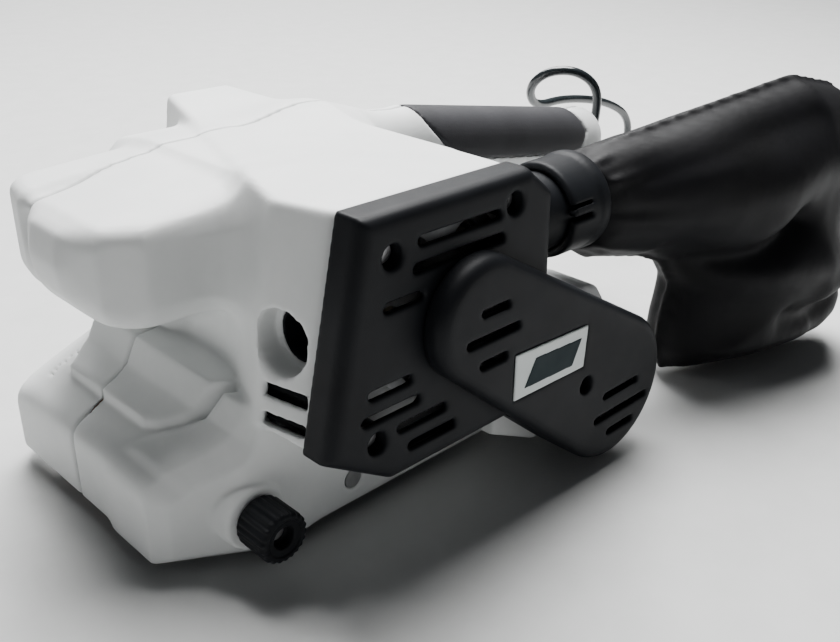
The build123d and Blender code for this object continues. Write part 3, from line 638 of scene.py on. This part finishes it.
def collar_field(g):
    """The bag's collar, a ring with a thicker rim and two short slits in its edge."""
    radius = np.sqrt((g.y - OUTLET_Y) ** 2 + (g.z - OUTLET_Z) ** 2)
    ring = meet(radius - 20.8, np.maximum(73 - g.x, g.x - 98), 2.5)
    ring = join(ring, meet(radius - 21.6, np.maximum(91.5 - g.x, g.x - 97.5), 1.5), 1)
    for angle in (72, 87):
        a = math.radians(angle)
        across = (g.y - OUTLET_Y) * math.cos(a) + (g.z - OUTLET_Z) * math.sin(a)
        out = -(g.y - OUTLET_Y) * math.sin(a) + (g.z - OUTLET_Z) * math.cos(a)
        ring = cut(ring, np.maximum(np.maximum(np.abs(across) - 0.9, g.x - 86), -out))
    return cut(ring, radius - 17.1)


pipe = Grid((26, -104, 83), (100, -58, 128), 1.0)
solid_piece("dust_pipe", pipe, outlet_field(pipe), COVER, "machine", "cover_plastic", "dust_outlet")
solid_piece("collar_ring", pipe, collar_field(pipe), COVER, "collector", "cover_plastic", "bag_collar")

def knob_field(g):
    """The tracking knob: ribbed side, rounded rim, dished face and a bore for its screw."""
    radius = np.sqrt((g.x - KNOB_X) ** 2 + (g.z - KNOB_Z) ** 2)
    angle = np.arctan2(g.z - KNOB_Z, g.x - KNOB_X)
    knurl = 0.75 * (0.5 + 0.5 * np.cos(angle * KNOB_RIBS))
    side = radius - 10.1 + knurl * np.clip((-82.5 - g.y) * 2, 0, 1)
    knob = meet(side, np.maximum(-98.5 - g.y, g.y + 82), 2.2)
    knob = cut(knob, np.maximum(radius - 4.3, g.y + 93.3), 0.8)
    knob = cut(knob, np.maximum(radius - 7.2, g.y + 97.7), 0.5)
    return cut(knob, radius - 3.05)


knob_grid = Grid((-87.5, -100, 14), (-64.5, -79.5, 37), 0.45)
knob = knob_field(knob_grid)
solid_piece("knob_body", knob_grid, knob, COVER, "tracking", "cover_plastic", "tracking_knob")


def wire(name, path, radius, sides=10):
    """A round wire along a path of points."""
    path = np.asarray(path, float)
    along = np.gradient(path, axis=0)
    along /= np.linalg.norm(along, axis=1)[:, None]
    first = np.cross(along, (1.0, 0.15, 0.1))
    first /= np.linalg.norm(first, axis=1)[:, None]
    second = np.cross(along, first)
    turn = np.linspace(0, 2 * np.pi, sides, endpoint=False)
    rings = path[:, None] + radius * (
        np.cos(turn)[None, :, None] * first[:, None] + np.sin(turn)[None, :, None] * second[:, None])
    number = np.arange(len(path) * sides).reshape(len(path), sides)
    around = np.roll(number, -1, axis=1)
    faces = np.stack([number[:-1], around[:-1], around[1:], number[1:]], -1).reshape(-1, 4)
    return object_from(name, rings.reshape(-1, 3), faces)


# ---- belt tension spring ---------------------------------------------------------------------------
SPRING_TURNS, SPRING_POINTS, SPRING_R, SPRING_WIRE = 4.5, 110, 5.3, 0.6
spring_low, spring_high = (np.array(corner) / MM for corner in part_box("tension_spring"))
spring_mid = (spring_low + spring_high) / 2
coil_turn = np.linspace(0, 2 * np.pi * SPRING_TURNS, SPRING_POINTS)
coil_x = np.linspace(spring_low[0] + SPRING_WIRE, spring_high[0] - SPRING_WIRE, SPRING_POINTS)
coil_y = spring_mid[1] + SPRING_R * np.cos(coil_turn)
coil_z = spring_mid[2] + SPRING_R * np.sin(coil_turn)
spring = wire("belt_spring", np.stack([coil_x, coil_y, coil_z], 1), SPRING_WIRE)
spring.data.materials.append(STEEL)
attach(spring, "machine")
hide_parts("tension_spring")
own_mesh(spring)


# ---- dust bag --------------------------------------------------------------------------------------
BAG_OUTLINE = [
    (92, 85), (105, 77.5), (125, 72.5), (140, 69.5), (152, 64), (160, 51), (157, 34), (156, 17), (161, 4),
    (190, 1.5), (225, 1.5), (250, 2.5), (266, 8), (277, 22), (279, 45), (274, 80), (269, 108), (265, 131),
    (258, 139.5), (222, 147.5), (205, 145), (180, 141), (155, 136.5), (125, 131), (105, 126), (92, 124.5)]
BAG_FOLDS = [
    ([(138, 74), (158, 68), (180, 72), (205, 84)], 9, 7),
    ([(168, 52), (190, 60), (215, 62), (240, 54)], -5, 11),
    ([(205, 34), (232, 30), (262, 40)], 6, 8),
    ([(222, 44), (250, 52), (276, 50)], -4, 7),
    ([(120, 118), (165, 126), (215, 132)], 2.2, 6),
    ([(150, 96), (185, 108), (230, 112), (262, 106)], -3, 12),
    ([(176, 20), (200, 16), (226, 20)], -3.5, 7),
    ([(240, 100), (252, 122), (262, 138)], 3, 5),
]


def along_line(a, b, corners):
    """Distance from each point of the plane of a and b to an open line."""
    nearest = None
    for (a0, b0), (a1, b1) in zip(corners, corners[1:]):
        ea, eb = a1 - a0, b1 - b0
        t = np.clip(((a - a0) * ea + (b - b0) * eb) / (ea * ea + eb * eb), 0, 1)
        d = np.sqrt((a - a0 - ea * t) ** 2 + (b - b0 - eb * t) ** 2)
        nearest = d if nearest is None else np.minimum(nearest, d)
    return nearest


def bag_field(g):
    """Two cloth panels sewn round an outline and filled, so the bag is thickest away from its seam."""
    x, z = g.x, g.z
    inside = -polygon(x, z, BAG_OUTLINE)
    stations = [92, 110, 130, 160, 190, 220, 285]
    mid = np.interp(x, stations, [-81, -84, -89, -97, -105, -112, -120]).astype(np.float32)
    mid = mid - np.clip((x - 200) / 80, 0, 1) * np.clip((80 - z) / 80, 0, 1) * 8
    thick = np.interp(x, stations, [20.5, 22, 26, 32, 34, 33, 27]).astype(np.float32)
    reach = np.interp(x, stations, [19.2, 22, 28, 36, 42, 44, 40]).astype(np.float32)
    hem = 2.2 * np.clip((x - 105) / 30, 0, 1)
    t = 1 - np.clip((inside - hem) / reach, 0, 1)
    half = thick * np.sqrt(np.maximum(1 - t * t, 0))
    near, far = half.copy(), half * np.interp(x, [100, 150], [1, 0.78]).astype(np.float32)
    for corners, depth, width in BAG_FOLDS:
        near = near - depth * np.exp(-(along_line(x, z, corners) / width) ** 2) * np.clip(inside / 14, 0, 1)
    wave = 1.6 * np.sin(x / 17 + z / 23) + 1.1 * np.sin(x / 9.5 - z / 14 + 1.3) + 0.8 * np.sin(z / 8 + x / 31)
    near = np.maximum(near + wave * np.clip(inside / 20, 0, 1) * np.clip((x - 100) / 40, 0, 1), 1.7)
    far = np.maximum(far + 0.8 * wave * np.clip(inside / 20, 0, 1) * np.clip((x - 100) / 40, 0, 1), 1.7)
    slab = np.maximum(mid - near - g.y, g.y - mid - far) * 0.75
    return meet(slab, -inside, 1.5)


def gathered(cloth):
    """Small folds that run out from the collar and die away along the bag and towards its seam."""
    around = np.arctan2(cloth[:, 2] - OUTLET_Z, OUTLET_Y - cloth[:, 1])
    fold = np.sin(13 * around + 1.2 * np.sin(3 * around)) + 0.6 * np.sin(23 * around + 2)
    fade = np.exp(-np.clip(cloth[:, 0] - 100, 0, 200) / 24) * np.clip((cloth[:, 0] - 96) / 6, 0, 1)
    hem_fade = np.clip(-polygon(cloth[:, 0], cloth[:, 2], BAG_OUTLINE) / 14, 0, 1)
    fade *= np.maximum(hem_fade, np.clip((112 - cloth[:, 0]) / 8, 0, 1))
    cloth[:, 1] -= 0.8 * fold * fade * np.cos(around)
    cloth[:, 2] += 0.8 * fold * fade * np.sin(around)
    return cloth


cloth_grid = Grid((91, -160, -1), (288, -58, 150), 1.5)
cloth, cloth_faces = surface(cloth_grid, bag_field(cloth_grid))
cloth = gathered(cloth)
bag = object_from("dust_bag_cloth", relax(cloth, cloth_faces, 3), cloth_faces)
bag.data.materials.append(BAG)
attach(bag, "collector")
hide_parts("dust_bag")


# ---- cord ------------------------------------------------------------------------------------------
CORD_ROUTE = [
    (221, 0, 88), (221.5, -3, 106), (221, -3, 123), (209, 3, 133), (199.5, 16.5, 132), (199, 29, 121),
    (214, 36, 106), (247, 39, 106), (292, 40, 97), (325, 42.5, 81), (330, 46.5, 56), (310, 50, 30),
    (302, 54, 10), (286, 64, 2.6), (264, 80, 2.6), (232, 91.5, 3.2), (200, 92.5, 3.2)]
COIL_AT, COIL_TURNS, TURN_POINTS = (170.0, 120.0), 12, 14


def coil_points():
    """Turns laid side by side and one on another, starting and ending nearest the machine."""
    points = []
    for i in range(COIL_TURNS * TURN_POINTS + 1):
        turn = i / TURN_POINTS
        layer = min(int(turn / 3), 3)
        lane = turn / 3 - layer
        lane = lane if layer % 2 == 0 else 1 - lane
        radius = 33 - 10.6 * min(max(lane, 0), 1)
        angle = math.radians(-90) - 2 * math.pi * turn
        z = 3.2 + layer * 4.9
        points.append((COIL_AT[0] + radius * math.cos(angle), COIL_AT[1] + radius * math.sin(angle), z))
    return points


route = CORD_ROUTE + coil_points() + [(152, 91.4, 14), (146, 92.2, 9.5)]
curve = bpy.data.curves.new("mains_cord", "CURVE")
curve.dimensions = "3D"
line = curve.splines.new("NURBS")
line.points.add(len(route) - 1)
for point, place in zip(line.points, route):
    point.co = (place[0] * MM, place[1] * MM, place[2] * MM, 1)
line.order_u = 3
line.use_endpoint_u = True
line.resolution_u = 6
curve.bevel_depth = 0.0025
curve.bevel_resolution = 4
curve.use_fill_caps = True
cord = bpy.data.objects.new("mains_cord", curve)
bpy.context.collection.objects.link(cord)
curve.materials.append(CORD_RUBBER)
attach(cord, "machine")
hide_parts("power_cord", "cord_coil")


# ---- stage -----------------------------------------------------------------------------------------
bpy.ops.mesh.primitive_grid_add(x_subdivisions=8, y_subdivisions=8, size=12)
floor = bpy.context.object
floor.name = "floor"
floor.data.materials.append(FLOOR)

CAMERA_AT = (-0.2365, -0.3244, 0.2418)
camera_data = bpy.data.cameras.new("camera")
camera_data.lens = 42.06
camera_data.sensor_width = 36
camera_data.clip_start = 0.01
camera = bpy.data.objects.new("camera", camera_data)
bpy.context.collection.objects.link(camera)
right = Vector((0.71275, -0.70134, 0.01087))
up = Vector((0.29717, 0.31596, 0.90103))
back = -Vector((0.63536, 0.63898, -0.43362))
turned = Matrix((right, up, back)).transposed().to_4x4()
camera.matrix_world = Matrix.Translation(CAMERA_AT) @ turned
bpy.context.scene.camera = camera


def softbox(name, place, aim, size, watts):
    """A rectangular lamp aimed at a point."""
    lamp = bpy.data.lights.new(name, "AREA")
    lamp.shape = "RECTANGLE"
    lamp.size, lamp.size_y = size
    lamp.energy = watts
    holder = bpy.data.objects.new(name, lamp)
    holder.location = place
    holder.rotation_euler = (Vector(aim) - Vector(place)).to_track_quat("-Z", "Y").to_euler()
    bpy.context.collection.objects.link(holder)


softbox("top_light", (0.35, 0.25, 1.25), (0.03, 0.0, 0.05), (0.8, 0.8), 54)
softbox("back_light", (1.1, 1.6, 1.7), (0.8, 1.1, 0), (1.6, 1.2), 90)
world = bpy.data.worlds.new("studio")
world.use_nodes = True
sky = world.node_tree.nodes["Background"]
sky.inputs["Color"].default_value = (0.93, 0.96, 1, 1)
sky.inputs["Strength"].default_value = 0.07
bpy.context.scene.world = world
